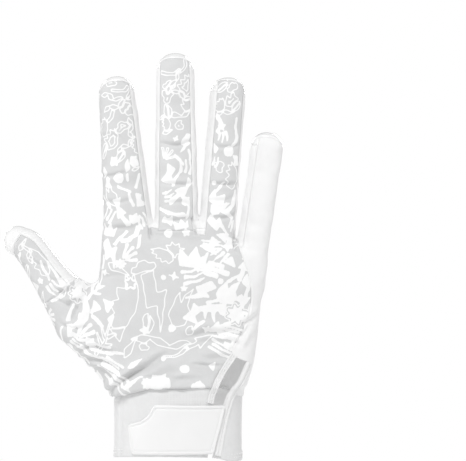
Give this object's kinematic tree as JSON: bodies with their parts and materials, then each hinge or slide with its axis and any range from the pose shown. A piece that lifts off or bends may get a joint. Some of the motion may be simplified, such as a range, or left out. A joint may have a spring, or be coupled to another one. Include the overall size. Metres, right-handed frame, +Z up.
{
  "type": "football receiver glove",
  "caption": "Right-hand receiver glove, filled out as if worn: patterned stretch back, glossy tacky palm and fingertips, finger gussets, elastic cuff with wrist slit and hook-and-loop strap.",
  "frame": {"origin": "centre of the cuff's mouth, where the wrist goes in", "axes": "+Z runs up the fingers, +X points to the little-finger side and -Y faces the back of the hand"},
  "size_m": [0.1623, 0.0522, 0.2358],
  "materials": {
    "printed_knit": "stretch knit, pale grey with a white brushed pattern",
    "plain_knit": "smooth white stretch knit",
    "tacky_palm": "glossy pale grey silicone coat on fabric",
    "elastic_knit": "pale grey elastic knit",
    "moulded_strap": "smooth matt white, raised rim",
    "binding_tape": "white woven tape, double stitched"
  },
  "bodies": {
    "root": {"back_panel": "printed_knit", "back_wrist": "printed_knit", "back_thumb_root": "printed_knit", "back_index": "printed_knit", "back_ring": "printed_knit", "middle_finger_back": "printed_knit", "thumb_back": "printed_knit", "side_panel": "plain_knit", "gusset_index_middle": "plain_knit", "gusset_middle_ring": "plain_knit", "gusset_ring_little": "plain_knit", "palm_panel": "tacky_palm", "palm_heel": "tacky_palm", "palm_knuckles": "tacky_palm", "palm_thumb": "tacky_palm", "palm_index": "tacky_palm", "palm_middle": "tacky_palm", "palm_ring": "tacky_palm", "palm_little": "tacky_palm", "cuff_band": "elastic_knit", "wrist_strap": "moulded_strap", "slit_binding_back": "binding_tape", "slit_binding_side": "binding_tape"}
  },
  "joints": []
}
